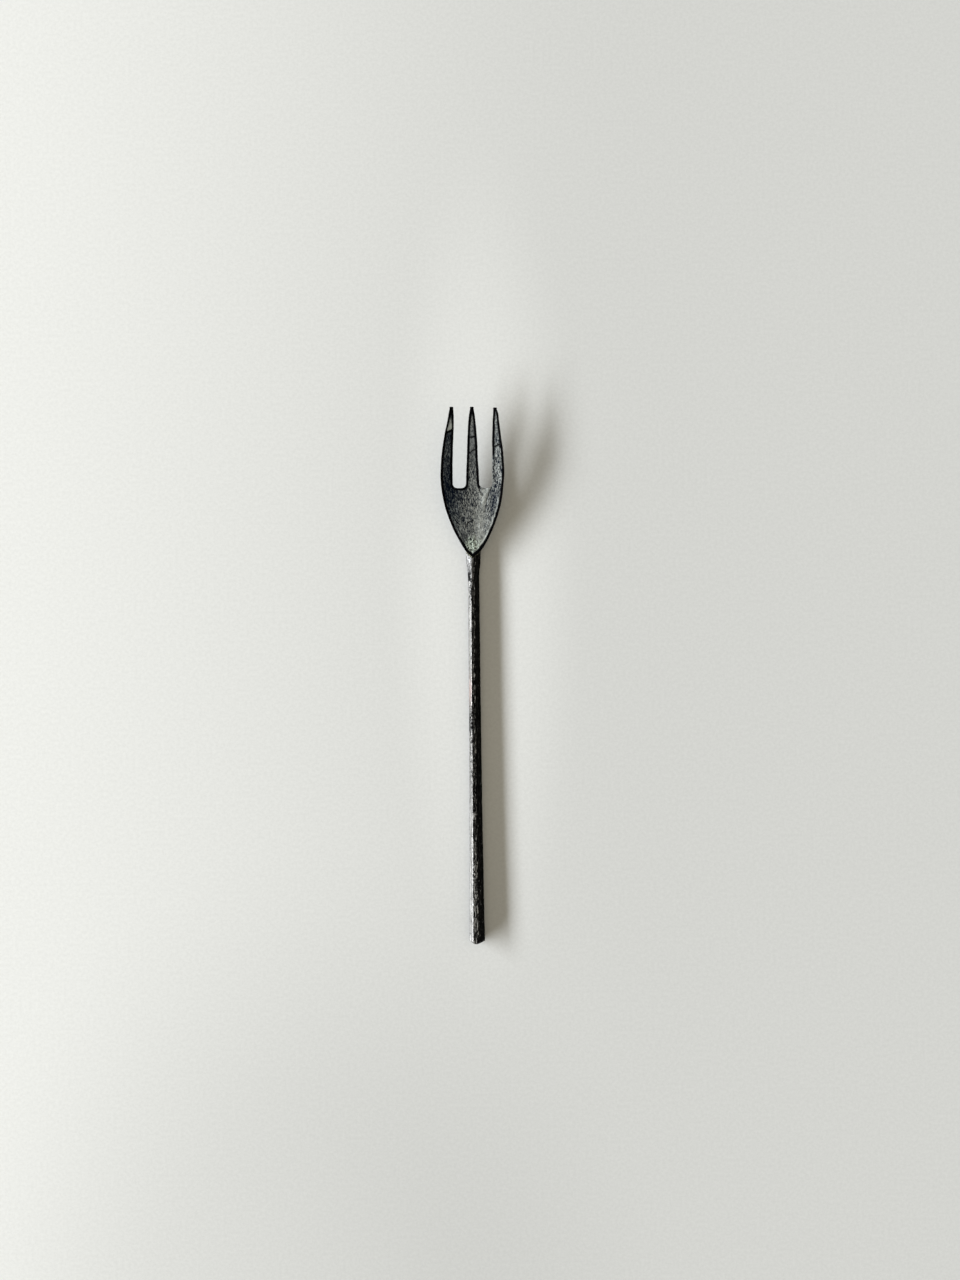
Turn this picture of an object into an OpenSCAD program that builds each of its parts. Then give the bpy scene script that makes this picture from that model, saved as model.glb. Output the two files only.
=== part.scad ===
// A small forged oyster fork: a dished plate with three tines, its pointed tail let into the top
// of a tapered square bar that lies on its corner, and the brazing metal that holds the two.
// The fork lies on a table as it does in use: +Y is towards the tips, +Z is up, and the origin is
// under the middle of its outline, on the surface that it rests on.

/* [Overall] */
// Length from the end of the handle to the tips
total_l = 150; // [135:1:165]

/* [Head plate] */
// Length of the plate, from the point of its tail to the tips
head_l = 41.5; // [37:0.5:46]
// Width across the outer tines at the widest place
head_w = 17.7; // [16:0.1:20]
// Thickness at the tail
tail_t = 1.1; // [0.9:0.05:1.3]
// Thickness at the tips
tip_t = 0.8; // [0.6:0.05:1.1]
// Rise of the tips above the tail
tip_rise = 3; // [1.5:0.1:5]
// Depth of the dish across the widest place
dish_d = 1.1; // [0.6:0.1:1.8]
// Length of each straight side of the pointed tail
tail_edge = 2.9; // [2.4:0.1:3.4]
// How far the point of the tail lies left of the middle
tail_off = 0.2; // [0:0.05:0.4]

/* [Tines] */
// Length of the gaps between the tines
gap_l = 22.1; // [18:0.1:25]
// Width of each gap at its root
gap_w = 3.6; // [3.2:0.1:4]
// Radius in the corners of a gap's root
gap_r = 1.2; // [0.6:0.1:1.5]
// Width of the middle tine at its root
mid_w = 3.7; // [3.2:0.1:4.2]
// Width of each tip
tip_w = 0.95; // [0.7:0.05:1.3]
// How much shorter the right tine was left
right_short = 0.6; // [0:0.1:1.5]

/* [Handle] */
// Width of the bar over its side corners at the end
end_w = 4.35; // [3.8:0.05:5]
// Height of the bar at the end
end_h = 2.95; // [2.6:0.05:3.4]
// Width of the bar before the neck
neck_w = 3.2; // [2.8:0.05:3.6]
// Height of the bar at the neck
neck_h = 2.45; // [2.2:0.05:2.8]
// Width that the bar is spread to under the head
spread_w = 4.3; // [3.9:0.1:4.8]
// Width of the worn flat along the top corner, before the end
ridge_w = 1.1; // [0.7:0.05:1.4]
// Width of that flat at the end
ridge_end_w = 1.6; // [1.1:0.05:2]
// How far the top corner lies left of the middle, until it nears the neck
ridge_wander = 0.4; // [0:0.05:0.5]
// Width of the flat that the bar rests on, at the neck
foot_w = 1.2; // [0.9:0.05:1.6]
// Width of that flat at the end
foot_end_w = 1.7; // [1.2:0.05:2.2]
// Height of the blunted side corners
side_h = 0.3; // [0.15:0.05:0.5]
// Length over which the end is blunted
end_blunt = 0.7; // [0.4:0.05:1.2]
// Length over which the bar is spread before the head
spread_l = 5; // [3:0.5:8]

/* [Joint] */
// Length of the tongue of the bar under the head
tongue_l = 11; // [8:0.5:14]
// Thickness of the tongue where it runs out
tongue_t = 0.3; // [0.2:0.05:0.4]
// Thickness of the brazing metal
braze_t = 0.15; // [0.1:0.01:0.2]
// How far the plate stands above the bar at the point of its tail
step_h = 0.15; // [0.1:0.05:0.3]

/* [Hidden] */

iron_black = "#33373b";
handle_black = "#2b2e32";
braze_brown = "#6d6849";

half_w = head_w / 2;
tail_y = total_l / 2 - head_l;
end_y = -total_l / 2;
handle_l = tail_y - end_y;
// The point of the tail is slightly blunter than a right angle
tail_angle = 49;
tail_x = tail_edge * sin(tail_angle);
tail_v = tail_edge * cos(tail_angle);

// The outer edges, from the tail's shoulders to the tips: share of the head's length, then share
// of half its width. The left and right sides differ a little, as the hammer left them.
left_edge_shares = [[0.1, 0.39], [0.2, 0.63], [0.3, 0.81], [0.4, 0.93], [0.5, 0.99],
    [0.58, 1], [0.7, 0.955], [0.8, 0.885], [0.9, 0.785], [0.96, 0.72]];
right_edge_shares = [[0.1, 0.405], [0.2, 0.625], [0.3, 0.805], [0.4, 0.915], [0.5, 0.975],
    [0.58, 1], [0.7, 0.97], [0.8, 0.905], [0.9, 0.85], [0.95, 0.82]];
// Where the middle of each outer tip lies, as a share of half the width
left_tip_share = 0.64;
right_tip_share = 0.725;
// The inner edges of the outer tines: share of the gap's length, then how far the edge leans out
// from its root, as a share of half the width
left_lean_shares = [[0.2, 0], [0.4, -0.005], [0.6, -0.02], [0.78, -0.042], [0.9, -0.04]];
right_lean_shares = [[0.2, 0.005], [0.4, 0.008], [0.6, 0.012], [0.78, 0.03], [0.9, 0.048]];
// The middle tine: share of the gap's length, then share of the width it loses towards its tip
mid_taper_shares = [[0.2, 0.09], [0.4, 0.22], [0.6, 0.35], [0.78, 0.55], [0.9, 0.77]];
// The tongue: share of its length, then share of its greatest width, then share of its rise
tongue_shares = [[0.09, 0.94, 0.01], [0.18, 1, 0.05], [0.35, 0.95, 0.2], [0.55, 0.83, 0.45],
    [0.78, 0.63, 0.75], [1, 0.38, 1]];
// The bar's width and flats fall from the end with these powers of the way that is left
width_power = 2.4;
ridge_power = 4;
wander_power = 6;
// The steps in which the bar, its spread, a stretch of an edge and an arc are drawn
bar_steps = 16;
spread_steps = 4;
edge_steps = 4;
arc_steps = 6;
// The end face: its width and flats, how far it is lifted and how far its top is lowered
end_narrow_share = 0.42;
end_low_share = 0.16;
end_drop_share = 0.04;

shoulder_w = spread_w * tongue_shares[0][1];
top_z = neck_h + step_h;
under_z = top_z - tail_t;
over = 4;
fine = 720;

// The radius of the arc that rises by h over a length or half width l
function arc_r(l, h) = (l * l + h * h) / (2 * h);
function smooth(t) = t * t * (3 - 2 * t);

top_r = arc_r(head_l, tip_rise);
under_r = arc_r(head_l, tip_rise + tail_t - tip_t);
dish_r = arc_r(half_w, dish_d);
under_dish_r = dish_r + tail_t;
tongue_rise = under_z - braze_t - tongue_t + under_r - sqrt(under_r * under_r - tongue_l * tongue_l);

// A curve through the points p, straight on at both ends
function through(p) = [
    for (i = [0:len(p) - 2])
        let (a = p[max(i - 1, 0)], b = p[i], c = p[i + 1], d = p[min(i + 2, len(p) - 1)])
            for (s = [0:edge_steps - 1])
                let (t = s / edge_steps)
                    0.5 * (2 * b + (c - a) * t + (2 * a - 5 * b + 4 * c - d) * t * t
                        + (3 * b - a - 3 * c + d) * t * t * t),
    p[len(p) - 1]
];
function turned(p) = [for (i = [len(p) - 1:-1:0]) p[i]];
function mirrored(p) = [for (q = p) [-q[0], q[1]]];
function arc(x, y, r, from, to) = [
    for (s = [0:arc_steps]) let (a = from + (to - from) * s / arc_steps) [x + r * cos(a), y + r * sin(a)]
];

// One outer tine, drawn on the right: the outer edge up, round the tip and down the inner edge
function outer_tine(edge_shares, lean_shares, tip_share, short) = let (
    tip_x = tip_share * half_w,
    tip_y = head_l - short - tip_w / 2,
    root_x = mid_w / 2 + gap_w,
    root_y = head_l - gap_l,
    outside = through(concat(
        [[tail_x, tail_v]],
        [for (s = edge_shares) [s[1] * half_w, s[0] * head_l]],
        [[tip_x + tip_w / 2, tip_y]])),
    inside = through(concat(
        [[root_x, root_y + gap_r]],
        [for (s = lean_shares) [root_x + s[1] * half_w, root_y + s[0] * gap_l]],
        [[tip_x - tip_w / 2, tip_y]]))
) concat(
    outside,
    arc(tip_x, tip_y, tip_w / 2, 0, 180),
    turned(inside),
    arc(root_x - gap_r, root_y + gap_r, gap_r, 0, -90));

// Half of the middle tine, drawn on the right: round the root of the gap and up to the tip
mid_half = concat(
    arc(mid_w / 2 + gap_r, head_l - gap_l + gap_r, gap_r, -90, -180),
    through(concat(
        [[mid_w / 2, head_l - gap_l + gap_r]],
        [for (s = mid_taper_shares)
            [mid_w / 2 - s[1] * (mid_w - tip_w) / 2, head_l - gap_l + s[0] * gap_l]],
        [[tip_w / 2, head_l - tip_w / 2]])));

head_outline = concat(
    [[-tail_off, 0]],
    outer_tine(right_edge_shares, right_lean_shares, right_tip_share, right_short),
    mid_half,
    arc(0, head_l - tip_w / 2, tip_w / 2, 0, 180),
    turned(mirrored(mid_half)),
    turned(mirrored(outer_tine(left_edge_shares, left_lean_shares, left_tip_share, 0))));

// Everything above a surface that is dished across with radius across_r and curls up along the
// head with radius along_r, from height z at the tail
module above(z, along_r, across_r) {
    reach = asin((head_l + over) / along_r);
    back = asin(over / along_r);
    translate([0, tail_y, z + along_r])
        rotate([0, 90, 0])
            rotate([0, 0, -back])
                rotate_extrude(angle = back + reach, $fn = fine)
                    intersection() {
                        translate([along_r - across_r, 0])
                            circle(r = across_r, $fn = fine);
                        translate([along_r - over * 2, -half_w - over])
                            square([over * 4, head_w + over * 2]);
                    }
}

module head() {
    color(iron_black)
        intersection() {
            translate([0, tail_y, 0])
                linear_extrude(top_z + tip_rise + dish_d + over)
                    polygon(head_outline);
            difference() {
                above(under_z, under_r, under_dish_r);
                above(top_z, top_r, dish_r);
            }
        }
}

// The seat for the tail: its pointed outline and everything above the plate's underside, both
// larger by the brazing metal
module seat() {
    back = braze_t / sin(tail_angle);
    wide = spread_w;
    right_y = tail_v * (wide + tail_off) / (tail_x + tail_off);
    left_y = tail_v * (wide - tail_off) / (tail_x - tail_off);
    intersection() {
        translate([0, tail_y - back, 0])
            linear_extrude(top_z + over)
                polygon([[-tail_off, 0], [wide, right_y], [wide, tongue_l + over],
                    [-wide, tongue_l + over], [-wide, left_y]]);
        above(under_z - braze_t, under_r + braze_t, under_dish_r + braze_t);
    }
}

// One cross-section of the bar at y: w over the side corners, h high, its worn ridge r wide and
// shifted to the left, its foot f wide and lifted by z
function section(y, w, h, r, shift, f, z) = let (m = (z + h) / 2) [
    [-f / 2, y, z], [f / 2, y, z],
    [w / 2, y, m - side_h / 2], [w / 2, y, m + side_h / 2],
    [r / 2 - shift, y, h], [-r / 2 - shift, y, h],
    [-w / 2, y, m + side_h / 2], [-w / 2, y, m - side_h / 2]
];
function bar_section(y, spread) = let (u = (y - end_y) / handle_l) section(
    y,
    neck_w + (end_w - neck_w) * pow(1 - u, width_power) + (shoulder_w - neck_w) * spread,
    neck_h + (end_h - neck_h) * (1 - u),
    ridge_w + (ridge_end_w - ridge_w) * pow(1 - u, ridge_power),
    ridge_wander * (1 - pow(u, wander_power)),
    foot_w + (foot_end_w - foot_w) * (1 - u),
    0);

// The blunted end, the bar, its spread towards the neck, and the tongue that runs out under the head
bar_sections = concat(
    [section(end_y, end_w * end_narrow_share, end_h * (1 - end_drop_share),
        ridge_end_w * end_narrow_share, ridge_wander, foot_end_w * end_narrow_share,
        end_h * end_low_share)],
    [for (i = [0:bar_steps])
        bar_section(end_y + end_blunt + (handle_l - end_blunt - spread_l) * i / bar_steps, 0)],
    [for (i = [1:spread_steps - 1])
        bar_section(tail_y - spread_l * (1 - i / spread_steps), smooth(i / spread_steps))],
    [for (s = tongue_shares)
        section(tail_y + s[0] * tongue_l, s[1] * spread_w, neck_h, ridge_w, 0,
            foot_w * s[1], s[2] * tongue_rise)]);

module bar() {
    n = len(bar_sections[0]);
    last = len(bar_sections) - 1;
    polyhedron(
        points = [for (s = bar_sections) each s],
        faces = concat(
            [[for (k = [0:n - 1]) k]],
            [for (i = [0:last - 1], k = [0:n - 1])
                let (a = i * n + k, b = i * n + (k + 1) % n) each [[a, a + n, b + n], [a, b + n, b]]],
            [[for (k = [n - 1:-1:0]) last * n + k]]));
}

module handle() {
    color(handle_black)
        difference() {
            bar();
            seat();
        }
}

module braze_seam() {
    color(braze_brown)
        difference() {
            intersection() {
                bar();
                seat();
            }
            head();
        }
}

head();
handle();
braze_seam();
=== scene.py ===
# A hand-forged oyster fork of blackened iron, lying on a pale table with a window to its left.
import math

import bmesh
import bpy
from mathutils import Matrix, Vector, kdtree, noise


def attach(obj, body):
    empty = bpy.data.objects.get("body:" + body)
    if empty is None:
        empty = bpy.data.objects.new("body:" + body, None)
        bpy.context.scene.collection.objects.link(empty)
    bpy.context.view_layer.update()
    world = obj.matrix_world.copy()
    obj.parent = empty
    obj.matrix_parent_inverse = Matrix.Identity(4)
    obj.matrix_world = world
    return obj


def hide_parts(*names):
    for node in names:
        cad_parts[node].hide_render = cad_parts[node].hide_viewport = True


mm = 0.001  # pieces are worked in millimetres and brought to metres at the end

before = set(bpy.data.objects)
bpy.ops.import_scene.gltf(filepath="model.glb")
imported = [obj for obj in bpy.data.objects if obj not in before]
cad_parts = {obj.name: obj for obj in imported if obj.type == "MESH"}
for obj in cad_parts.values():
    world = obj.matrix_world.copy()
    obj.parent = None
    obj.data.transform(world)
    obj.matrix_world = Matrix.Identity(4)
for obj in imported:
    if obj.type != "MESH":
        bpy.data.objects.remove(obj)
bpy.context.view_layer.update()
print("frame loaded:", ", ".join(sorted(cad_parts)))


# Working the metal: a closed, even mesh of a CAD node, then moves along its normals

def evenCopy(nodeName, cell, rounds):
    # a copy of the node in millimetres, its triangles merged, remeshed to even cells and eased
    bm = bmesh.new()
    bm.from_mesh(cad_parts[nodeName].data)
    bmesh.ops.remove_doubles(bm, verts=bm.verts, dist=0.001 * mm)
    bmesh.ops.scale(bm, vec=(1 / mm,) * 3, verts=bm.verts)
    blank = bpy.data.meshes.new(nodeName + "Blank")
    bm.to_mesh(blank)
    bm.free()
    holder = bpy.data.objects.new(nodeName + "Blank", blank)
    bpy.context.scene.collection.objects.link(holder)
    remesh = holder.modifiers.new("even", "REMESH")
    remesh.mode = "VOXEL"
    remesh.voxel_size = cell
    remesh.adaptivity = 0
    worked = bpy.data.meshes.new_from_object(
        holder.evaluated_get(bpy.context.evaluated_depsgraph_get()))
    bm = bmesh.new()
    bm.from_mesh(worked)
    bpy.data.objects.remove(holder)
    bpy.data.meshes.remove(blank)
    bpy.data.meshes.remove(worked)
    for i in range(rounds):
        bmesh.ops.smooth_vert(bm, verts=bm.verts, factor=0.5,
                              use_axis_x=True, use_axis_y=True, use_axis_z=True)
    bm.normal_update()
    return bm


def moveAlongNormals(bm, depthAt):
    moves = [v.normal * depthAt(v.co, v.normal) for v in bm.verts]
    for v, move in zip(bm.verts, moves):
        v.co += move
    bm.normal_update()


def stayAbove(bm, level):
    for v in bm.verts:
        v.co.z = max(v.co.z, level)


def makePiece(bm, pieceName, nodeName, material):
    bmesh.ops.scale(bm, vec=(mm,) * 3, verts=bm.verts)
    mesh = bpy.data.meshes.new(pieceName)
    bm.to_mesh(mesh)
    bm.free()
    mesh.polygons.foreach_set("use_smooth", [True] * len(mesh.polygons))
    mesh.materials.append(material)
    piece = bpy.data.objects.new(pieceName, mesh)
    bpy.context.scene.collection.objects.link(piece)
    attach(piece, "root")
    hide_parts(nodeName)
    print(pieceName, "made,", len(mesh.polygons), "faces")


# Shares from 0 to 1 that say how strong something is at a place

def fade(start, full, value):
    t = min(max((value - start) / (full - start), 0), 1)
    return t * t * (3 - 2 * t)


def between(value, start, full, stillFull, end):
    return fade(start, full, value) * fade(end, stillFull, value)


def inPatch(co, patch):
    (x, y), (reachX, reachY) = patch["at"], patch["reach"]
    return math.exp(-((co.x - x) / reachX) ** 2 - ((co.y - y) / reachY) ** 2)


def onStroke(co, stroke):
    # 1 on the stroke's path, falling off with its width
    path = stroke["path"]
    if not min(y for x, y in path) - 1.5 < co.y < max(y for x, y in path) + 1.5:
        return 0
    wander = stroke.get("wander", 0) * noise.noise(co / 0.9)
    nearest = 1e9
    for (ax, ay), (bx, by) in zip(path, path[1:]):
        px, py, dx, dy = co.x - ax + wander, co.y - ay + wander, bx - ax, by - ay
        t = min(max((px * dx + py * dy) / (dx * dx + dy * dy), 0), 1)
        nearest = min(nearest, math.hypot(px - t * dx, py - t * dy))
    return math.exp(-(nearest / stroke["width"]) ** 2)


def sumOf(kind, co, marks, shareAt):
    return sum(mark[kind] * shareAt(co, mark) for mark in marks if kind in mark)


def hollows(place, size):
    # shallow bowls side by side, 0 in the middle of one and rising to the crest between two
    return noise.voronoi(place / size, distance_metric="DISTANCE_SQUARED")[0][0]


def spots(place, start, full):
    # spots that fill the more of a surface the lower start and full are
    return fade(start, full, noise.noise(place))


def stretched(co, across, along, seed):
    # where to read a noise whose grains are longer along the bar than across it
    return Vector((co.x / across + seed, co.y / along, co.z / across))


# Shader helpers

def newMaterial(name):
    material = bpy.data.materials.new(name)
    material.use_nodes = True
    tree = material.node_tree
    tree.nodes.clear()
    shader = tree.nodes.new("ShaderNodeBsdfPrincipled")
    output = tree.nodes.new("ShaderNodeOutputMaterial")
    tree.links.new(shader.outputs["BSDF"], output.inputs["Surface"])
    return material, tree, shader


def plug(tree, socket, value):
    if isinstance(value, bpy.types.NodeSocket):
        tree.links.new(value, socket)
    else:
        socket.default_value = value


def scaled(tree, vector, scale, shift=(0, 0, 0)):
    node = tree.nodes.new("ShaderNodeMapping")
    node.inputs["Scale"].default_value = scale
    node.inputs["Location"].default_value = shift
    tree.links.new(vector, node.inputs["Vector"])
    return node.outputs["Vector"]


def objectPlace(tree):
    return tree.nodes.new("ShaderNodeTexCoord").outputs["Object"]


def placeInMm(tree, scale):
    # the piece's own place in millimetres, stretched by scale
    return scaled(tree, objectPlace(tree), [s / mm for s in scale])


def attributeOf(tree, name, output="Fac"):
    node = tree.nodes.new("ShaderNodeAttribute")
    node.attribute_name = name
    return node.outputs[output]


def cloud(tree, vector, rough, detail=3, twist=0):
    node = tree.nodes.new("ShaderNodeTexNoise")
    node.inputs["Scale"].default_value = 1
    node.inputs["Detail"].default_value = detail
    node.inputs["Roughness"].default_value = rough
    node.inputs["Distortion"].default_value = twist
    tree.links.new(vector, node.inputs["Vector"])
    return node.outputs["Fac"]


def cells(tree, vector):
    node = tree.nodes.new("ShaderNodeTexVoronoi")
    node.inputs["Scale"].default_value = 1
    tree.links.new(vector, node.inputs["Vector"])
    return node.outputs["Distance"]


def fit(tree, value, low, high, newLow=0, newHigh=1):
    node = tree.nodes.new("ShaderNodeMapRange")
    node.interpolation_type = "SMOOTHSTEP"
    for socket, number in zip(("From Min", "From Max", "To Min", "To Max"),
                              (low, high, newLow, newHigh)):
        node.inputs[socket].default_value = number
    plug(tree, node.inputs["Value"], value)
    return node.outputs["Result"]


def reckon(tree, operation, first, second):
    node = tree.nodes.new("ShaderNodeMath")
    node.operation = operation
    plug(tree, node.inputs[0], first)
    plug(tree, node.inputs[1], second)
    return node.outputs[0]


def mixed(tree, parts):
    # the sum of the values, each times its share
    total = 0
    for value, share in parts:
        total = reckon(tree, "ADD", reckon(tree, "MULTIPLY", value, share), total)
    return total


def blend(tree, share, first, second, kind="MIX"):
    node = tree.nodes.new("ShaderNodeMix")
    node.data_type = "RGBA"
    node.blend_type = kind
    plug(tree, node.inputs[0], share)
    for socket, colour in ((node.inputs[6], first), (node.inputs[7], second)):
        plug(tree, socket, colour if isinstance(colour, bpy.types.NodeSocket) else (*colour, 1))
    return node.outputs[2]


def roughen(tree, height, strength, distance, under=None):
    node = tree.nodes.new("ShaderNodeBump")
    node.inputs["Strength"].default_value = strength
    node.inputs["Distance"].default_value = distance * mm
    tree.links.new(height, node.inputs["Height"])
    if under:
        tree.links.new(under, node.inputs["Normal"])
    return node.outputs["Normal"]


def ironUnderScaleAndShade(tree, shader, colour, scaleAndShade, scaleAndShadeColour):
    # bare iron is a metal, and the black of scale and of painted shade is not
    tree.links.new(blend(tree, scaleAndShade, colour, scaleAndShadeColour), shader.inputs["Base Color"])
    plug(tree, shader.inputs["Metallic"], fit(tree, scaleAndShade, 0.2, 1, 1, 0))
    shader.inputs["Specular IOR Level"].default_value = 0.1
    shader.inputs["Specular Tint"].default_value = (0.1, 0.1, 0.1, 1)


# Head: a dished plate with three tines, planished, then blackened

headLook = {
    "cell": 0.11,             # mesh cell, mm
    "easing": 1,              # smoothing rounds, which ease the edges
    "tipWidth": 1.15,         # the tines end bluntly
    # each tine's place across the head, how far its tip is drawn out and where it turns black, mm
    "tines": [
        {"span": (-9, -3), "longer": 0.07, "black": 72.7},
        {"span": (-3, 3), "longer": 0.13, "black": 72.6},
        {"span": (3, 9), "longer": 0.34, "black": 73.2},
    ],
    "drawnTines": (60, 74),   # from where along a tine it is drawn out, and where fully
    "tipsFrom": 72,
    "widerLeft": 0.15,        # how far the sides of the bowl are drawn out
    "widerRight": 0.10,
    "widerAlong": (34, 39, 48, 68),        # begins, is full, is still full, ends
    "blowSize": 2.4,          # one mark of the hammer, mm
    "blowLength": 1.7,        # how many times as long as wide it is
    "blowDepth": 0.09,
    "blowLevel": 0.4,         # how far up a mark the CAD's own surface is
    "swellSize": 5.5,
    "swellDepth": 0.05,
    "grainSize": 0.45,
    "grainDepth": 0.018,
    "fan": {"narrow": 0.4, "along": (33, 54)},   # how its lines spread from tail to tines
    "leftTine": (-4, -5),     # across the head, where each begins
    "rightTine": (3, 4),
    "edgeBand": 0.69,         # black band along every edge, black scale with painted shade where the walls turn from the light, mm
    "bandFade": (0.9, 1.15),  # where it begins to fade and is gone, in its widths
    "bandRagged": 0.12,
    "tailBand": {"more": 0.28, "along": (39.5, 36)},       # it gets broader at the tail
    "tipBand": {"less": 0.1, "along": (68, 72)},           # and narrower up the right tine
    "wallGrey": 0.24,         # how much grey iron shows through on the plate's walls
    # the inner side of the right tine faces the light, so the painted shade band is left off it,
    # wholly at the root and in spots above
    "litInnerSide": {"along": (49.8, 51.2, 61.3, 62.3), "across": (1.9, 2.6, 6.1, 6.6),
               "spotted": (56, 54), "share": 0.85, "sparesWalls": 0.7},
    # painted highlight: a pale rim inside the band on the right of the bowl, brighter towards the
    # tail
    "rim": {"shine": 0.45, "more": 0.4, "inside": (1.0, 1.2, 1.4, 1.8), "across": (1.2, 2.2),
            "along": (51, 48.5), "towardsTail": (44, 38)},
    "litTipShine": 0.75,
    # below its tip the left tine is painted pale, a painted highlight, down to a slanting black line
    "litTip": {"end": 68.6, "slant": 0.5, "length": 4.2, "middle": -6.4, "thinnerBand": 0.25,
                "line": (-0.9, -0.4, -0.05, 0.15)},
    "wash": {"at": (-0.3, 36.9, 2.7), "reach": (0.9, 3.3), "ragged": 1.2, "share": 0.85},
    "dark": (0.004, 0.009, 0.020),
    "light": (0.57, 0.60, 0.585),
    "coolTint": (0.93, 1.0, 1.07),         # of its left side
    "coolSide": (-2, -6),
    "washDark": (0.004, 0.010, 0.005),     # brazing metal that has washed over the tail
    "washLight": (0.72, 0.82, 0.72),
    "shineColour": (0.67, 0.71, 0.68),
    "scaleAndShadeColour": (0.001, 0.001, 0.0015),
    "roughness": (0.64, 0.52),             # of its dark and of its pale places
    "bumps": {"specks": (0.6, 0.07), "streaks": (0.4, 0.06)},      # strength and height, mm
    # grains per mm across, along and in height
    "streaks": (4.6, 0.8, 3),
    "patchy": (0.5, 0.35, 0.5),
    "specks": (3.5, 1.7, 3),
    "blotches": (2.2, 1.9, 2.2),
    "pits": (2.4, 1.5, 2),
    "shares": {"streaks": 0.5, "patchy": 0.09, "specks": 0.41},
    "mottle": (0.445, 0.56),  # closer numbers give a harder grain
    "washMottle": (0.46, 0.51),
    "tones": (0, 1.2),        # from the darkest to the palest place
    "calmTone": 0.46,
    "pitDepth": 0.7,          # how much darker a pit is
    "pitEdge": (0.12, 0.36),
    "marks": [
        # marks of a cross peen on the tines
        {"path": [(-1.4, 66.9), (0, 66.9), (1.4, 67.2)], "width": 0.30, "rise": -0.10, "scaleAndShade": 1.2},
        {"path": [(-0.7, 62.5), (0.1, 63.3), (1.2, 63.5)], "width": 0.24, "rise": -0.08,
         "scaleAndShade": 1.1},
        {"path": [(5.4, 64.0), (6.3, 64.1), (7.6, 64.7)], "width": 0.28, "rise": -0.09,
         "scaleAndShade": 1.2, "wander": 0.1},
        {"path": [(5.7, 60.9), (8.3, 61.1)], "width": 0.2, "rise": -0.05, "scaleAndShade": 0.4,
         "wander": 0.2},
        {"path": [(-7.9, 67.6), (-6.4, 68.3), (-5.0, 69.0)], "width": 0.34, "rise": -0.10,
         "scaleAndShade": 0.3},
        {"path": [(-7.2, 64.7), (-5.6, 65.0)], "width": 0.2, "rise": -0.06, "scaleAndShade": 0.6,
         "wander": 0.1},
        # short creases in the bowl and at the root of the middle tine
        {"path": [(0.1, 43.9), (-0.9, 43.6), (-1.6, 43.0), (-1.95, 42.1)], "width": 0.15,
         "rise": -0.06, "scaleAndShade": 1.3, "wander": 0.15},
        {"path": [(-1.6, 55.9), (-0.9, 55.5), (-0.1, 55.9)], "width": 0.16, "rise": -0.06,
         "scaleAndShade": 0.7, "wander": 0.2},
        # corner of the gap beside the right tine
        {"path": [(1.9, 52.6), (2.3, 51.6), (2.8, 50.9)], "width": 0.26, "rise": -0.04,
         "scaleAndShade": 0.8},
        # fold from the right tine down into the bowl: its pale slope is a painted highlight and its
        # dark side beyond is painted shade
        {"path": [(5.0, 54.6), (4.3, 52.7), (3.5, 50.9), (3.0, 49.5)], "width": 0.8, "rise": 0.07,
         "shine": 0.3, "wander": 0.2},
        {"path": [(3.1, 49.5), (2.5, 47.3)], "width": 0.35, "rise": 0.03, "shine": 0.2,
         "wander": 0.3},
        {"path": [(5.6, 54.4), (5.1, 52.6), (4.3, 50.8), (4.0, 49.6), (3.8, 47.6), (3.3, 46.2)],
         "width": 0.2, "rise": -0.05, "scaleAndShade": 0.8, "wander": 0.25},
    ],
    "patches": [
        # where the plate is painted paler or darker: painted shade on its left side, painted
        # highlight on its lower right and on the fold, uneven tone elsewhere
        {"at": (1.9, 39.5), "reach": (1.8, 5.0), "tone": 0.34},
        {"at": (2.4, 45.0), "reach": (1.9, 7.0), "tone": 0.22},
        {"at": (3.0, 50.8), "reach": (1.0, 2.8), "tone": 0.42},
        {"at": (6.0, 50.0), "reach": (1.7, 4.6), "tone": -0.44},
        {"at": (7.2, 60.0), "reach": (1.6, 4.0), "tone": 0.02},
        {"at": (7.0, 67.5), "reach": (1.6, 3.0), "tone": 0.06},
        {"at": (-6.2, 50.0), "reach": (3.6, 9.0), "tone": -0.45},
        {"at": (-7.6, 51.5), "reach": (1.4, 4.0), "tone": -0.15},
        {"at": (-2.4, 38.2), "reach": (0.9, 2.6), "tone": -0.30},
        {"at": (-7.2, 60.0), "reach": (2.4, 7.0), "tone": -0.15},
        {"at": (-6.2, 66.7), "reach": (1.6, 1.5), "tone": -0.30},
        {"at": (-6.2, 72.5), "reach": (1.2, 1.6), "tone": -0.16},
        {"at": (0.0, 60.0), "reach": (1.8, 4.0), "tone": -0.05},
        {"at": (0.0, 70.0), "reach": (1.6, 2.5), "tone": 0.08},
        {"at": (6.5, 71.5), "reach": (1.0, 2.0), "tone": 0.2},
        # where it is smooth and even instead of mottled
        {"at": (-6.8, 62.0), "reach": (2.5, 8.0), "calm": 0.5},
        {"at": (0.0, 65.0), "reach": (2.0, 8.5), "calm": 0.75},
        {"at": (6.5, 70.5), "reach": (1.5, 4.0), "calm": 0.5},
    ],
}


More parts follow.
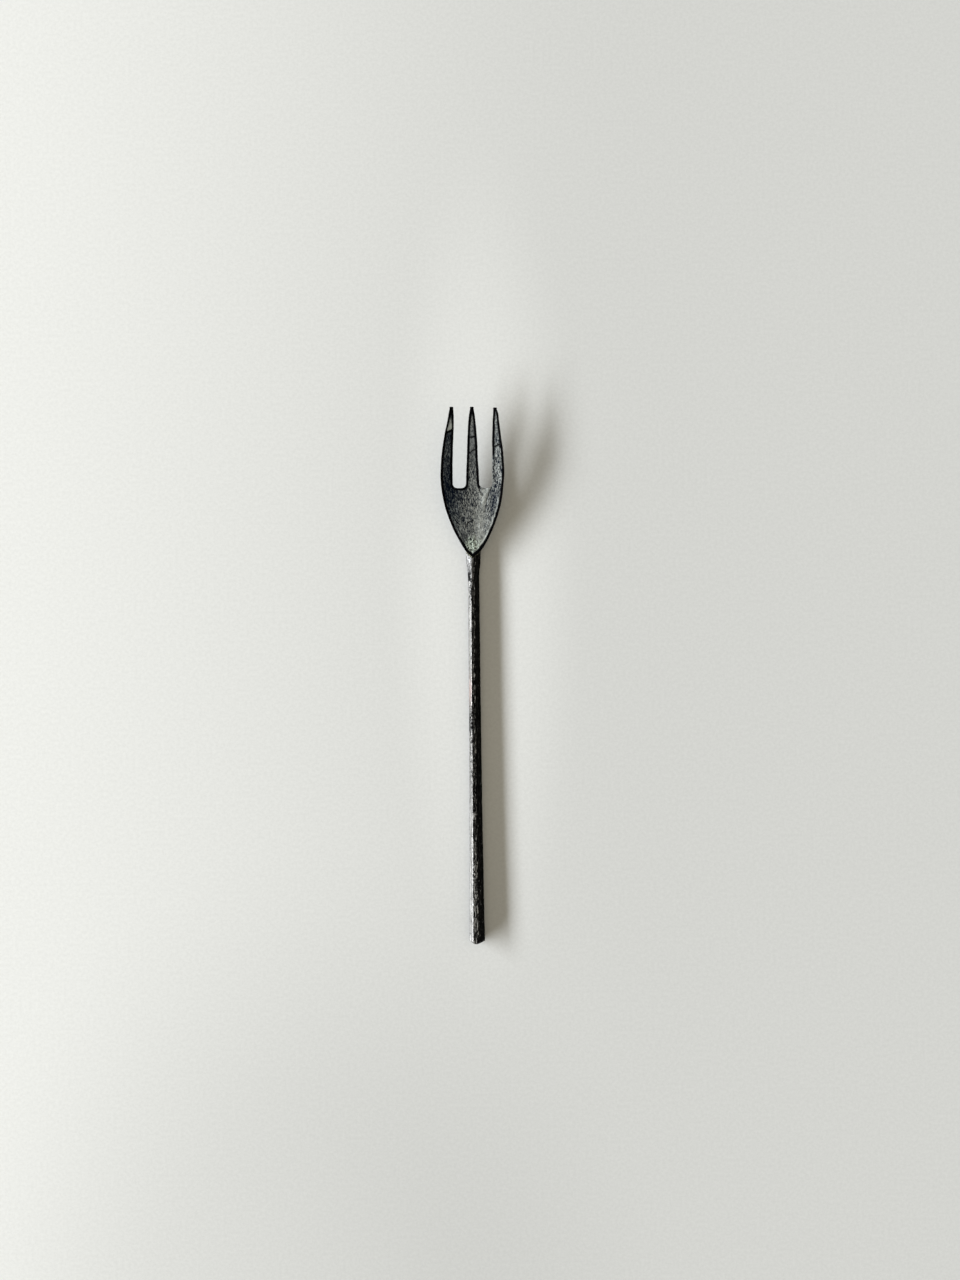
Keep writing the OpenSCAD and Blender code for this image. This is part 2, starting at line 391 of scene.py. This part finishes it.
def drawOut(bm):
    # the bowl grows a little wider, and the tines longer with a blunter end
    for v in bm.verts:
        side = between(v.co.y, *headLook["widerAlong"])
        v.co.x -= headLook["widerLeft"] * side * fade(-1, -4, v.co.x)
        v.co.x += headLook["widerRight"] * side * fade(1, 4, v.co.x)
    reach = headLook["tipWidth"] / 2
    for shape in headLook["tines"]:
        low, high = shape["span"]
        tine = [v for v in bm.verts if low < v.co.x < high and v.co.y > headLook["drawnTines"][0]]
        for v in tine:
            v.co.y += shape["longer"] * fade(*headLook["drawnTines"], v.co.y)
        tip = [v for v in tine if v.co.y > headLook["tipsFrom"]]
        end = max(v.co.y for v in tip)
        last = [v.co.x for v in tip if v.co.y > end - 0.3]
        middle = sum(last) / len(last)
        for v in tip:
            aside, beyond = v.co.x - middle, max(v.co.y - (end - reach), 0)
            grow = fade(headLook["tipsFrom"], end - reach, v.co.y)
            # from a circle out towards the square around it, whose corners stay rounded
            push = min(math.hypot(aside, beyond) / max(abs(aside), beyond, 0.05), 1.35) - 1
            v.co.x += aside * grow * push
            v.co.y += beyond * grow * push


def fanned(co):
    # lines of the plate spread from its tail and run straight in the tines
    fan = headLook["fan"]
    width = fan["narrow"] + (1 - fan["narrow"]) * fade(*fan["along"], co.y)
    return Vector((co.x / width, co.y, co.z))


def headDepth(co, normal):
    fan = fanned(co)
    fan.y /= headLook["blowLength"]
    depth = headLook["blowDepth"] * (hollows(fan, headLook["blowSize"]) - headLook["blowLevel"])
    depth += headLook["swellDepth"] * noise.noise(co / headLook["swellSize"])
    depth += headLook["grainDepth"] * noise.noise(co / headLook["grainSize"])
    depth += headLook["grainDepth"] * noise.noise(fan / (2 * headLook["grainSize"]))
    if normal.z > 0.3:
        depth += sumOf("rise", co, headLook["marks"], onStroke)
    return depth


def wallTree(bm):
    # the plate's walls as seen from above
    walls = [v.co for v in bm.verts if abs(v.normal.z) < 0.35]
    tree = kdtree.KDTree(len(walls))
    for i, co in enumerate(walls):
        tree.insert((co.x, co.y, 0), i)
    tree.balance()
    return tree


def bandsToWall(co, walls):
    # how far the plate's wall is, in widths of the black band; at the tail the band is twice as
    # much broader on the right as on the left
    tail, tip = headLook["tailBand"], headLook["tipBand"]
    band = headLook["edgeBand"]
    band *= 1 + tail["more"] * fade(*tail["along"], co.y) * (0.5 + 0.5 * fade(-0.5, 1, co.x))
    band *= 1 - tip["less"] * fade(*tip["along"], co.y) * fade(*headLook["rightTine"], co.x)
    ragged = headLook["bandRagged"] * noise.noise(co / 0.8)
    return walls.find((co.x, co.y, 0))[2] / band + ragged


def litInnerShare(co, normal):
    # where the right tine's inner side faces the light and so keeps no painted shade band
    worn = headLook["litInnerSide"]
    litInnerSide = between(co.y, *worn["along"]) * between(co.x, *worn["across"])
    litInnerSide *= 1 - worn["sparesWalls"] * fade(0.93, 0.75, normal.z)
    return litInnerSide * max(fade(*worn["spotted"], co.y), worn["share"] * spots(co / 0.5, -0.35, 0.1))


def turnedBlack(co):
    for shape in headLook["tines"]:
        if co.x < shape["span"][1]:
            return fade(shape["black"], shape["black"] + 0.5, co.y)
    return 0


def paintHead(bm):
    # what follows the plate: its edges, black of scale and painted shade, painted highlights, brazing
    # metal, tone and a fan of streaks
    edge, scaleAndShade, shine, wash, tone, calm, cool = (
        bm.verts.layers.float.new(name)
        for name in ("edge", "scaleAndShade", "shine", "wash", "tone", "calm", "cool"))
    fan = bm.verts.layers.float_vector.new("fan")
    walls = wallTree(bm)
    tip, rim, flow = headLook["litTip"], headLook["rim"], headLook["wash"]
    for v in bm.verts:
        co = v.co
        gap = bandsToWall(co, walls)
        leftTine = fade(*headLook["leftTine"], co.x)
        # the painted highlight below the left tip, whose edge is a black line and whose band is a
        # little thinner
        along = co.y - tip["end"] - tip["slant"] * (co.x - tip["middle"])
        tipLit = leftTine * fade(0, 0.25, along) * fade(tip["length"], 0.2, along)
        tipLitLine = leftTine * between(along, *tip["line"])
        # the black band along the edges: black scale, with painted shade on walls turned from the
        # light
        band = 1 - fade(*headLook["bandFade"], gap + tip["thinnerBand"] * tipLit)
        kept = 1 - litInnerShare(co, v.normal)
        grey = fade(0.5, 0.25, abs(v.normal.z)) * spots(co / 0.6, -0.15, 0.35)
        v[edge] = max(band, turnedBlack(co)) * kept * (1 - headLook["wallGrey"] * grey)
        v[scaleAndShade] = min(1, sumOf("scaleAndShade", co, headLook["marks"], onStroke) + tipLitLine)
        # a painted highlight along the right rim
        lit = between(gap, *rim["inside"]) * fade(*rim["across"], co.x) * fade(*rim["along"], co.y)
        lit *= rim["shine"] * (1 + rim["more"] * fade(*rim["towardsTail"], co.y))
        # painted highlights: the fold's lit slope, the pale right rim and the left tip
        v[shine] = min(1, sumOf("shine", co, headLook["marks"], onStroke)
                       + lit + headLook["litTipShine"] * tipLit)
        v[calm] = min(1, sumOf("calm", co, headLook["patches"], inPatch))
        v[cool] = fade(*headLook["coolSide"], co.x)
        away = (co - Vector(flow["at"])).length + flow["ragged"] * noise.noise(co / 0.7)
        v[wash] = flow["share"] * (1 - fade(*flow["reach"], away))
        v[tone] = sumOf("tone", co, headLook["patches"], inPatch)
        v[fan] = fanned(co)


def blackenedHead():
    look = headLook
    material, tree, shader = newMaterial("blackenedHead")
    fan = attributeOf(tree, "fan", "Vector")
    streaks = cloud(tree, scaled(tree, fan, look["streaks"]), detail=4, rough=0.75)
    patchy = cloud(tree, scaled(tree, fan, look["patchy"]), rough=0.6, twist=0.4)
    specks = cloud(tree, scaled(tree, fan, look["specks"]), rough=0.8)
    blotches = cloud(tree, placeInMm(tree, look["blotches"]), rough=0.7, twist=0.5)
    pits = cells(tree, scaled(tree, fan, look["pits"]))
    shares, bumps = look["shares"], look["bumps"]
    grain = mixed(tree, [(streaks, shares["streaks"]), (patchy, shares["patchy"]),
                         (specks, shares["specks"])])
    mottle = fit(tree, grain, *look["mottle"])
    # calm places have an even tone and no pits
    calm = attributeOf(tree, "calm")
    even = reckon(tree, "MULTIPLY", calm, reckon(tree, "SUBTRACT", look["calmTone"], mottle))
    tone = reckon(tree, "ADD", reckon(tree, "ADD", mottle, even), attributeOf(tree, "tone"))
    pitted = reckon(tree, "MAXIMUM", calm, fit(tree, pits, *look["pitEdge"], 1 - look["pitDepth"], 1))
    tone = reckon(tree, "MULTIPLY", tone, pitted)
    colour = blend(tree, fit(tree, tone, *look["tones"]), look["dark"], look["light"])
    cooled = blend(tree, 1, colour, look["coolTint"], "MULTIPLY")
    colour = blend(tree, attributeOf(tree, "cool"), colour, cooled)
    washed = blend(tree, fit(tree, blotches, *look["washMottle"]), look["washDark"],
                   look["washLight"])
    colour = blend(tree, attributeOf(tree, "wash"), colour, washed)
    # the shine attribute holds painted highlights, mixed in as a pale colour
    colour = blend(tree, attributeOf(tree, "shine"), colour, look["shineColour"])
    black = reckon(tree, "MAXIMUM", attributeOf(tree, "scaleAndShade"), attributeOf(tree, "edge"))
    ironUnderScaleAndShade(tree, shader, colour, black, look["scaleAndShadeColour"])
    plug(tree, shader.inputs["Roughness"], fit(tree, tone, *look["tones"], *look["roughness"]))
    fine = roughen(tree, specks, *bumps["specks"])
    plug(tree, shader.inputs["Normal"], roughen(tree, streaks, *bumps["streaks"], fine))
    return material


head = evenCopy("head", headLook["cell"], headLook["easing"])
drawOut(head)
moveAlongNormals(head, headDepth)
paintHead(head)
makePiece(head, "forgedHead", "head", blackenedHead())


# Handle: a square bar on its corner, drawn out under the hammer

handleLook = {
    "cell": 0.124,
    "easing": 1,
    "blowAcross": 1.6,
    "blowAlong": 4.2,
    "blowDepth": 0.05,
    "roughSize": 0.9,
    "roughDepth": 0.035,
    "pitSize": 0.45,
    "pitDepth": 0.015,
    "dark": (0.004, 0.004, 0.0045),
    "light": (0.22, 0.222, 0.225),
    "worn": (0.318, 0.31, 0.30),       # the left side, painted pale as a highlight of the window
    "wornDark": (0.11, 0.11, 0.11),
    "pink": (0.37, 0.295, 0.28),
    "scratchAndHighlightColour": (0.70, 0.71, 0.72),   # bright scratches along the ridge, and a painted highlight on it
    # the black of painted shade on the right facet and of scale, with flecks in it
    "scaleAndShadeColour": (0.001, 0.001, 0.001),
    "scaleAndShadeFleck": (0.024, 0.024, 0.024),
    "roughness": (0.55, 0.41),             # of its dark and of its pale places
    "bumps": {"specks": (0.3, 0.05), "streaks": (0.3, 0.06)},      # strength and height, mm
    # grains per mm across, along and in height
    "streaks": (4.0, 0.45, 4.0),
    "specks": (4.0, 2.6, 4.0),
    "scratches": (4.2, 0.8, 4.2),
    "shares": {"streaks": 0.6, "specks": 0.4},
    # closer numbers give a harder grain
    "mottle": (0.50, 0.61),
    "wornMottle": (0.38, 0.54),
    "scaleAndShadeMottle": (0.51, 0.62),
    "scratchMottle": (0.51, 0.56),
    # under the head the painted highlight on the left side is duller and reaches over the ridge
    "neck": {"along": (24, 31), "duller": 0.6},
    "wide": {"along": (26.5, 29), "across": (-0.1, -0.35), "scaleAndShade": 0.38, "streak": 0.2},
    "endScratched": {"more": 0.42, "along": (-20, -62)},   # more of the ridge is bright there
    "patches": [
        # flakes of black scale left on the lit side
        {"at": (-1.3, 28.4), "reach": (0.55, 1.5), "scale": 0.9},
        {"at": (-0.9, 24.0), "reach": (0.35, 3.5), "scale": 0.6},
        {"at": (-1.3, -12.5), "reach": (1.1, 4.2), "scale": 0.55},
        {"at": (-1.2, -24.0), "reach": (0.4, 9.0), "scale": 0.4},
        # its dark outer line, a pinkish bare place and a painted highlight on the ridge
        {"at": (-2.2, -8.5), "reach": (2.5, 8.0), "line": 1.0},
        {"at": (-2.2, -66.0), "reach": (2.5, 11.0), "line": 0.75},
        {"at": (-1.5, -4.0), "reach": (0.9, 3.7), "pink": 0.8},
        {"at": (0, 14), "reach": (9, 8), "ridgeHighlight": 0.12},
    ],
}


def handleDepth(co, normal):
    depth = handleLook["blowDepth"] * noise.noise(
        stretched(co, handleLook["blowAcross"], handleLook["blowAlong"], 7))
    depth += handleLook["roughDepth"] * noise.noise(
        stretched(co, handleLook["roughSize"], 2 * handleLook["roughSize"], 3))
    depth += handleLook["pitDepth"] * noise.noise(co / handleLook["pitSize"])
    return depth * fade(0, 0.5, co.z)


def paintHandle(bm):
    # the left facet is painted pale as a highlight, the right one painted black as shade, the arris
    # between them ragged and scratched
    worn, scaleAndShade, pink, streak = (
        bm.verts.layers.float.new(name) for name in ("worn", "scaleAndShade", "pink", "streak"))
    neck, over, end = handleLook["neck"], handleLook["wide"], handleLook["endScratched"]
    for v in bm.verts:
        co = v.co
        facing = v.normal
        scale, outer, pinkish, bright = (
            sumOf(kind, co, handleLook["patches"], inPatch)
            for kind in ("scale", "line", "pink", "ridgeHighlight"))
        ragged = 0.5 * noise.noise(stretched(co, 0.4, 0.7, 5)) + 0.55 * noise.noise(co / 0.25)
        flake = fade(0.35, 0.65, scale + 0.8 * noise.noise(stretched(co, 0.3, 0.45, 9)))
        wide = fade(*over["along"], co.y) * fade(*over["across"], co.x) * fade(0.5, 0.2, facing.x)
        # the left facet, turned to the window, painted pale as a highlight
        left = max(fade(-0.25, -0.5, facing.x + ragged), wide) * fade(-0.2, 0.1, facing.z)
        v[worn] = left * (1 - flake) * (1 - neck["duller"] * fade(*neck["along"], co.y))
        # a broken dark line along the left corner
        line = fade(0.5, 0.2, abs(facing.z)) * fade(0, -0.5, facing.x)
        line *= spots(stretched(co, 2.0, 1.3, 21), -0.2, 0.15) * min(1, 0.15 + outer)
        # the right facet, turned from the window, is painted black as shade; the flakes are black
        # scale
        right = fade(0.2, 0.5, facing.x + 0.5 * ragged) * fade(-0.5, -0.1, facing.z)
        v[scaleAndShade] = max(right, flake, line, over["scaleAndShade"] * wide * fade(-0.2, -0.5, facing.x))
        v[pink] = pinkish
        bright += end["more"] * fade(*end["along"], co.y)
        scratched = fade(0.30, 0.45, noise.noise(stretched(co, 0.3, 2.2, 13)) + bright)
        v[streak] = max(scratched, over["streak"] * wide) * fade(0.6, 0.85, facing.z)


def blackenedHandle():
    look = handleLook
    material, tree, shader = newMaterial("blackenedHandle")
    streaks = cloud(tree, placeInMm(tree, look["streaks"]), detail=4, rough=0.7)
    specks = cloud(tree, placeInMm(tree, look["specks"]), rough=0.75)
    scratches = cloud(tree, placeInMm(tree, look["scratches"]), detail=2, rough=0.6)
    shares, bumps = look["shares"], look["bumps"]
    tone = mixed(tree, [(streaks, shares["streaks"]), (specks, shares["specks"])])
    colour = blend(tree, fit(tree, tone, *look["mottle"]), look["dark"], look["light"])
    bright = reckon(tree, "MULTIPLY", attributeOf(tree, "streak"),
                    fit(tree, scratches, *look["scratchMottle"]))
    colour = blend(tree, bright, colour, look["scratchAndHighlightColour"])
    wornColour = blend(tree, fit(tree, tone, *look["wornMottle"]), look["wornDark"], look["worn"])
    wornColour = blend(tree, attributeOf(tree, "pink"), wornColour, look["pink"])
    colour = blend(tree, attributeOf(tree, "worn"), colour, wornColour)
    scaleAndShadeBlack = blend(tree, fit(tree, tone, *look["scaleAndShadeMottle"]), look["scaleAndShadeColour"],
                  look["scaleAndShadeFleck"])
    ironUnderScaleAndShade(tree, shader, colour, attributeOf(tree, "scaleAndShade"), scaleAndShadeBlack)
    plug(tree, shader.inputs["Roughness"], fit(tree, tone, 0.3, 0.7, *look["roughness"]))
    fine = roughen(tree, specks, *bumps["specks"])
    plug(tree, shader.inputs["Normal"], roughen(tree, streaks, *bumps["streaks"], fine))
    return material


handle = evenCopy("handle", handleLook["cell"], handleLook["easing"])
paintHandle(handle)
moveAlongNormals(handle, handleDepth)
stayAbove(handle, 0)
makePiece(handle, "forgedHandle", "handle", blackenedHandle())


# Brazing metal between the plate's tail and its seat in the bar

brazeLook = {
    "cell": 0.05,
    "easing": 2,
    "beadSize": 0.35,
    "beadDepth": 0.03,
    "dull": (0.03, 0.033, 0.026),
    "clean": (0.16, 0.16, 0.11),
    "roughness": (0.65, 0.45),
    "bump": (0.4, 0.06),
    "grains": (3, 3, 3),      # per mm
    "mottle": (0.4, 0.62),
}


def brazeDepth(co, normal):
    return brazeLook["beadDepth"] * (0.5 + noise.noise(co / brazeLook["beadSize"]))


def dulledBraze():
    look = brazeLook
    material, tree, shader = newMaterial("dulledBraze")
    grains = cloud(tree, placeInMm(tree, look["grains"]), detail=4, rough=0.65)
    colour = blend(tree, fit(tree, grains, *look["mottle"]), look["dull"], look["clean"])
    tree.links.new(colour, shader.inputs["Base Color"])
    shader.inputs["Metallic"].default_value = 1
    plug(tree, shader.inputs["Roughness"], fit(tree, grains, 0.35, 0.65, *look["roughness"]))
    plug(tree, shader.inputs["Normal"], roughen(tree, grains, *look["bump"]))
    return material


braze = evenCopy("braze_seam", brazeLook["cell"], brazeLook["easing"])
moveAlongNormals(braze, brazeDepth)
makePiece(braze, "brazeSeam", "braze_seam", dulledBraze())


# Table, window and room

roomLook = {
    "tableRadius": 2.5,
    "under": 0.00002,                  # the table is a hair under the fork's flat
    "tableColour": (0.69, 0.698, 0.692),
    "tableGrain": (1.1, 1.1, 1.1),     # per mm
    "tableMottle": (0.96, 1.04),
    # painted light on the table: a paler glow close around the head, and a little painted shade at
    # its near left
    "poolFull": 0.65,                  # how far in from its edge a pool is full
    "pools": [
        {"at": (0.003, 0.029), "reach": (0.030, 0.133), "tone": 1.11},
        {"at": (-0.050, -0.190), "reach": (0.110, 0.150), "tone": 0.90},
    ],
    "paintedWindowLight": 1.35,                  # how much paler the table is painted to the left of the fork, as painted light towards the window
    "paintedWindowLightOver": (0.06, -0.19),     # where that begins and is full
    "paintedWindowLightEnd": (-1.4, -0.2),       # and where it is over and still full
    "windowColour": (0.943, 0.974, 1.0),
    # azimuth from -X towards -Y and height above the table, in degrees
    "window": {"azimuth": 6, "height": 16.2, "away": 20, "size": (32.0, 2.7), "power": 13100},
    "ceiling": (0.262, 0.235, 0.18),
    "walls": (0.66, 0.645, 0.59),
    "wallTop": (0.2, 0.6),             # heights, as sines, over which wall turns to ceiling
    "lean": 0.4,                       # how much more of the room's light comes from the right
}


def paleTable():
    look = roomLook
    material, tree, shader = newMaterial("paleTable")
    grain = cloud(tree, placeInMm(tree, look["tableGrain"]), rough=0.7)
    place = objectPlace(tree)
    split = tree.nodes.new("ShaderNodeSeparateXYZ")
    tree.links.new(place, split.inputs["Vector"])
    across = split.outputs["X"]
    # painted light: the table is paler towards the window
    rise = fit(tree, across, *look["paintedWindowLightOver"], 0, look["paintedWindowLight"] - 1)
    rise = reckon(tree, "MULTIPLY", rise, fit(tree, across, *look["paintedWindowLightEnd"]))
    tone = reckon(tree, "MULTIPLY", fit(tree, grain, 0.25, 0.75, *look["tableMottle"]),
                  reckon(tree, "ADD", 1, rise))
    for pool in look["pools"]:
        (x, y), (reachX, reachY) = pool["at"], pool["reach"]
        gradient = tree.nodes.new("ShaderNodeTexGradient")
        gradient.gradient_type = "SPHERICAL"
        centred = scaled(tree, place, (1 / reachX, 1 / reachY, 1), (-x / reachX, -y / reachY, 0))
        tree.links.new(centred, gradient.inputs["Vector"])
        tone = reckon(tree, "MULTIPLY", tone,
                      fit(tree, gradient.outputs["Fac"], 0, look["poolFull"], 1, pool["tone"]))
    colour = blend(tree, 1, look["tableColour"], tone, "MULTIPLY")
    tree.links.new(colour, shader.inputs["Base Color"])
    shader.inputs["Roughness"].default_value = 0.9
    shader.inputs["Specular IOR Level"].default_value = 0.0
    return material


tableMesh = bmesh.new()
bmesh.ops.create_circle(tableMesh, cap_ends=True, segments=128, radius=roomLook["tableRadius"])
bmesh.ops.translate(tableMesh, vec=(0, 0, -roomLook["under"]), verts=tableMesh.verts)
table = bpy.data.objects.new("table", bpy.data.meshes.new("table"))
tableMesh.to_mesh(table.data)
tableMesh.free()
table.data.materials.append(paleTable())
bpy.context.scene.collection.objects.link(table)

window = roomLook["window"]
azimuth = math.radians(window["azimuth"])
height = math.radians(window["height"])
towards = Vector((-math.cos(azimuth) * math.cos(height), -math.sin(azimuth) * math.cos(height),
                  math.sin(height)))
light = bpy.data.lights.new("window", "AREA")
light.shape = "RECTANGLE"
light.size, light.size_y = window["size"]
light.energy = window["power"]
light.color = roomLook["windowColour"]
lamp = bpy.data.objects.new("window", light)
lamp.location = towards * window["away"]
lamp.rotation_euler = towards.to_track_quat("Z", "Y").to_euler()
lamp.visible_camera = False
bpy.context.scene.collection.objects.link(lamp)


def litRoom():
    # pale walls under a duller ceiling; the light on matt surfaces leans to the right
    room = bpy.data.worlds.new("room")
    room.use_nodes = True
    tree = room.node_tree
    outwards = tree.nodes.new("ShaderNodeTexCoord")
    split = tree.nodes.new("ShaderNodeSeparateXYZ")
    ray = tree.nodes.new("ShaderNodeLightPath")
    backdrop = tree.nodes["Background"]
    tree.links.new(outwards.outputs["Generated"], split.inputs["Vector"])
    up = fit(tree, split.outputs["Z"], *roomLook["wallTop"])
    plug(tree, backdrop.inputs["Color"], blend(tree, up, roomLook["walls"], roomLook["ceiling"]))
    seen = reckon(tree, "MAXIMUM", ray.outputs["Is Camera Ray"], ray.outputs["Is Glossy Ray"])
    seen = reckon(tree, "MAXIMUM", ray.outputs["Is Transmission Ray"], seen)
    unseen = reckon(tree, "SUBTRACT", 1, seen)
    lean = reckon(tree, "MULTIPLY", roomLook["lean"],
                  reckon(tree, "MULTIPLY", split.outputs["X"], unseen))
    plug(tree, backdrop.inputs["Strength"], reckon(tree, "ADD", 1, lean))
    return room


bpy.context.scene.world = litRoom()
print("room lit")


# Camera straight above, as the photograph was taken

cameraLook = {
    "place": (0.001609, 0.010330, 0.27225),
    "turn": (0, 0, -0.01014),
    "lens": 27.03,
}
camera = bpy.data.cameras.new("camera")
camera.lens = cameraLook["lens"]
camera.clip_start = 0.01
cameraObject = bpy.data.objects.new("camera", camera)
cameraObject.location = cameraLook["place"]
cameraObject.rotation_euler = cameraLook["turn"]
bpy.context.scene.collection.objects.link(cameraObject)
bpy.context.scene.camera = cameraObject
bpy.context.scene.view_settings.view_transform = "Standard"
